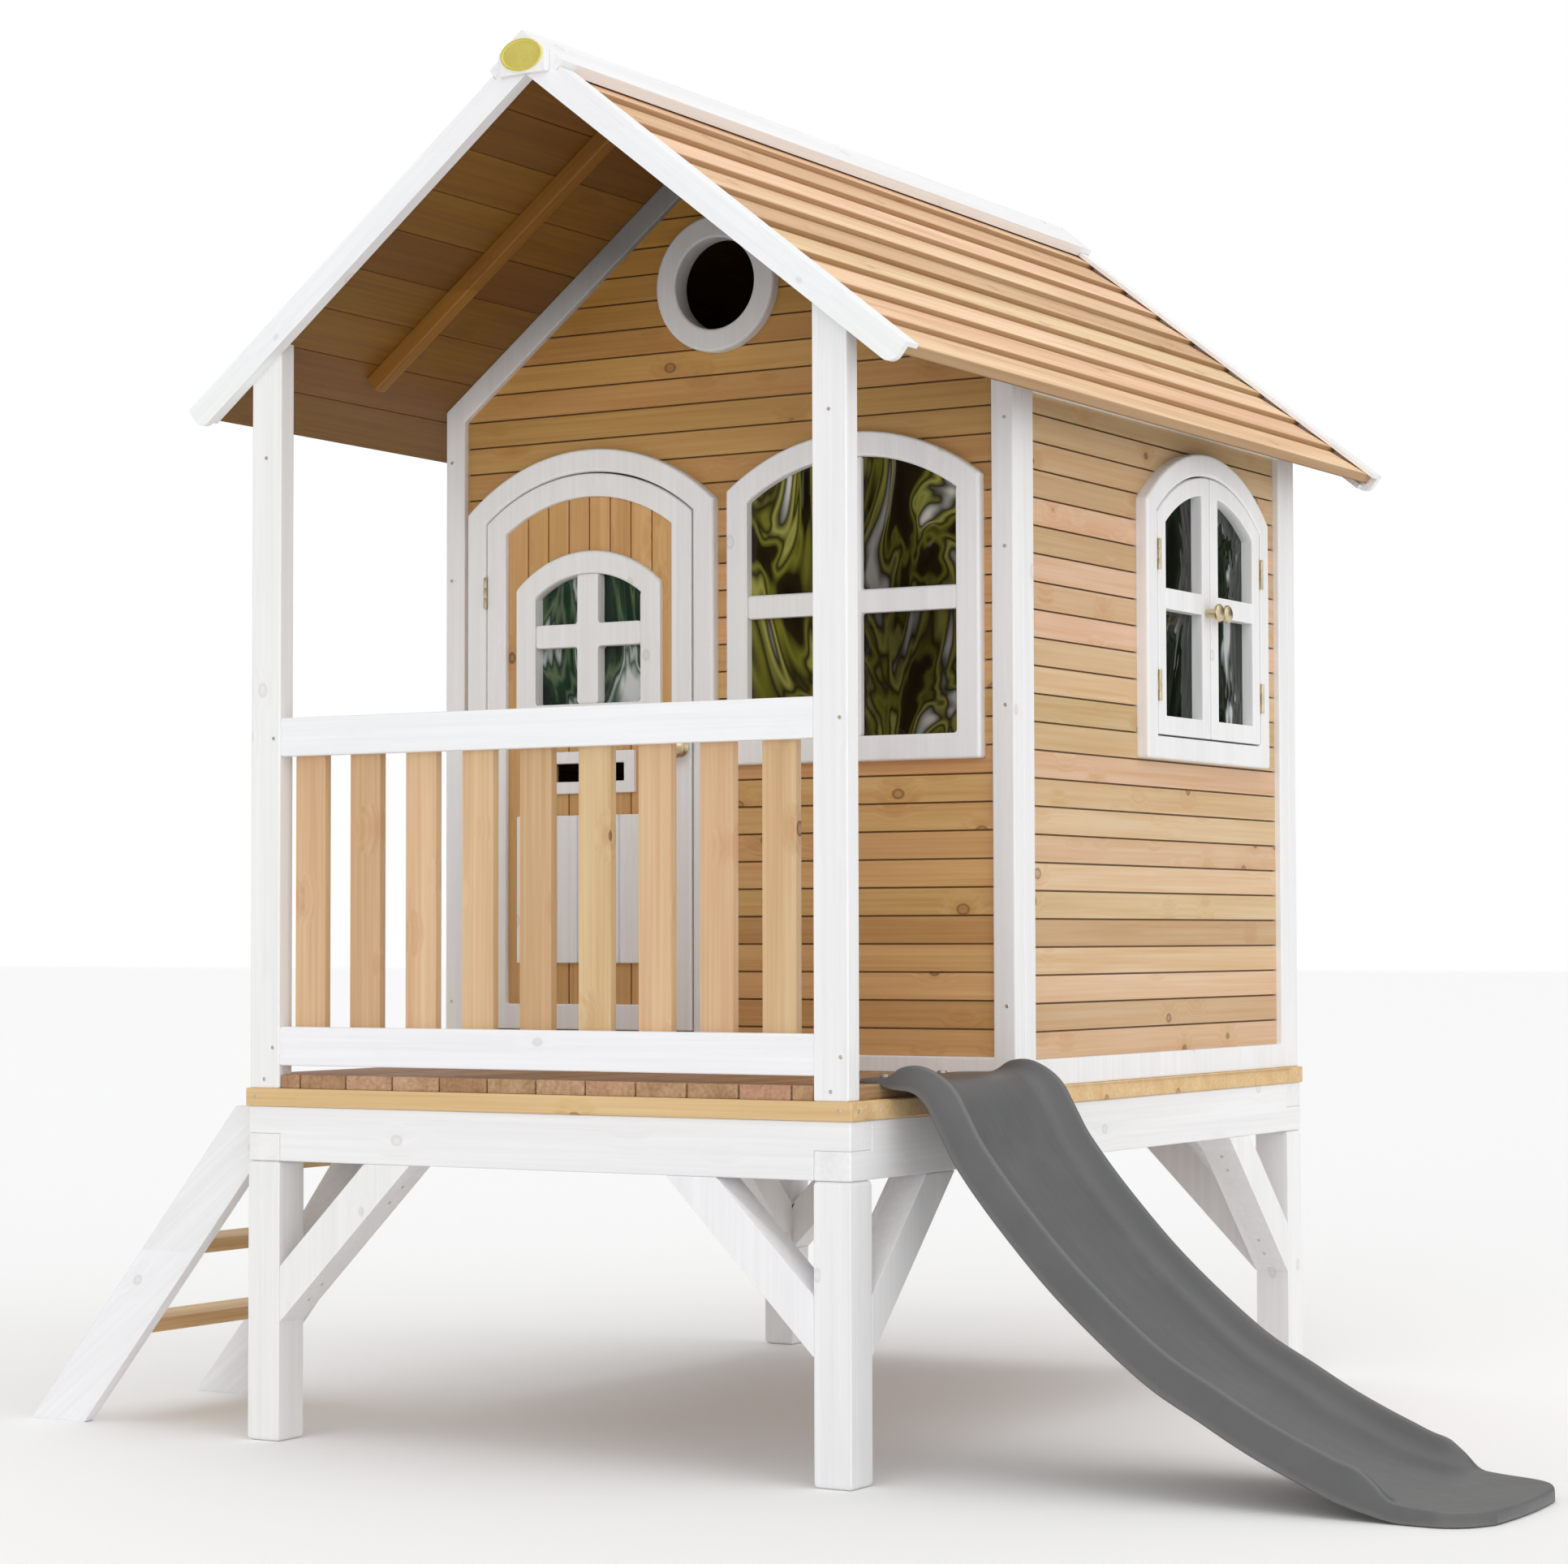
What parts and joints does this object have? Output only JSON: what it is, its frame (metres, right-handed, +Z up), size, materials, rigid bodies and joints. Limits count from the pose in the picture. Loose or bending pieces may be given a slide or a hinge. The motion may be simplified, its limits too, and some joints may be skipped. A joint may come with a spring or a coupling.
{
  "type": "raised garden playhouse",
  "caption": "Raised timber playhouse on legs with a porch, railing, ladder, plastic slide, arched door that opens, casement windows and a pitched board roof.",
  "frame": {"origin": "centre of the whole object's box, at the ground", "axes": "+X towards the slide, along the porch; +Y from the porch to the rear wall; +Z up"},
  "size_m": [2.698, 1.983, 2.3528],
  "materials": {
    "white_wood": "semi-opaque white stain over sawn pine",
    "cladding_wood": "honey stained lapped boards",
    "roof_wood": "pale sawn boards with darker edges",
    "natural_wood": "clear stained pine",
    "deck_wood": "reddish brown stained boards",
    "frame_wood": "pale yellow stained pine",
    "slide_plastic": "satin dark grey moulded plastic",
    "clear_pane": "clear acrylic sheet, slightly wavy",
    "brass": "satin brass",
    "steel": "zinc plated"
  },
  "bodies": {
    "frame": {"balusters": "natural_wood", "barge_boards_front": "white_wood", "barge_boards_rear": "white_wood", "beams_front_rear": "white_wood", "beams_left_right": "white_wood", "deck_boards": "deck_wood", "door_hinge_frame_halves": "brass", "door_surround": "white_wood", "floor_frame": "frame_wood", "floor_joists": "natural_wood", "front_wall_boards": "cladding_wood", "front_wall_frame": "white_wood", "front_window_frame": "white_wood", "front_window_pane": "clear_pane", "knee_braces": "white_wood", "ladder_stringers": "white_wood", "ladder_treads": "natural_wood", "left_wall_boards": "cladding_wood", "left_wall_frame": "white_wood", "left_window_hinge_halves": "brass", "left_window_surround": "white_wood", "legs": "white_wood", "porch_post_left": "white_wood", "porch_post_right": "white_wood", "porch_rails": "white_wood", "porthole_ring": "white_wood", "rear_wall_boards": "cladding_wood", "rear_wall_frame": "white_wood", "ridge_cap": "white_wood", "ridge_end_block": "white_wood", "ridge_plaque": "brass", "right_wall_boards": "cladding_wood", "right_wall_frame": "white_wood", "right_window_hinge_halves": "brass", "right_window_surround": "white_wood", "roof_boards_left": "roof_wood", "roof_boards_right": "roof_wood", "roof_rafters": "frame_wood", "slide_bolts": "steel", "slide_chute": "slide_plastic"},
    "door": {"door_leaf_frame": "white_wood", "door_boards": "cladding_wood", "door_window_frame": "white_wood", "door_window_pane": "clear_pane", "letter_plate": "white_wood", "door_lower_panel": "white_wood", "door_knob": "brass", "door_hinge_leaf_halves": "brass"},
    "left_casement_front_leaf": {"left_casement_front": "white_wood", "left_casement_front_pane": "clear_pane", "left_casement_front_fittings": "brass"},
    "left_casement_rear_leaf": {"left_casement_rear": "white_wood", "left_casement_rear_pane": "clear_pane", "left_casement_rear_fittings": "brass"},
    "right_casement_front_leaf": {"right_casement_front": "white_wood", "right_casement_front_pane": "clear_pane", "right_casement_front_fittings": "brass"},
    "right_casement_rear_leaf": {"right_casement_rear": "white_wood", "right_casement_rear_pane": "clear_pane", "right_casement_rear_fittings": "brass"}
  },
  "joints": [
    {"name": "door_hinge", "type": "hinge", "parent": "frame", "child": "door", "pos_m": [-0.7265, -0.395, 1.2], "axis": [0, 0, -1], "range_deg": [0, 95]},
    {"name": "left_window_front_hinge", "type": "hinge", "parent": "frame", "child": "left_casement_front_leaf", "pos_m": [-0.8385, 0.17, 1.45], "axis": [0, 0, 1], "range_deg": [0, 100]},
    {"name": "left_window_rear_hinge", "type": "hinge", "parent": "frame", "child": "left_casement_rear_leaf", "pos_m": [-0.8385, 0.633, 1.45], "axis": [0, 0, -1], "range_deg": [0, 100]},
    {"name": "right_window_front_hinge", "type": "hinge", "parent": "frame", "child": "right_casement_front_leaf", "pos_m": [0.3765, 0.17, 1.45], "axis": [0, 0, -1], "range_deg": [0, 100]},
    {"name": "right_window_rear_hinge", "type": "hinge", "parent": "frame", "child": "right_casement_rear_leaf", "pos_m": [0.3765, 0.633, 1.45], "axis": [0, 0, 1], "range_deg": [0, 100]}
  ]
}
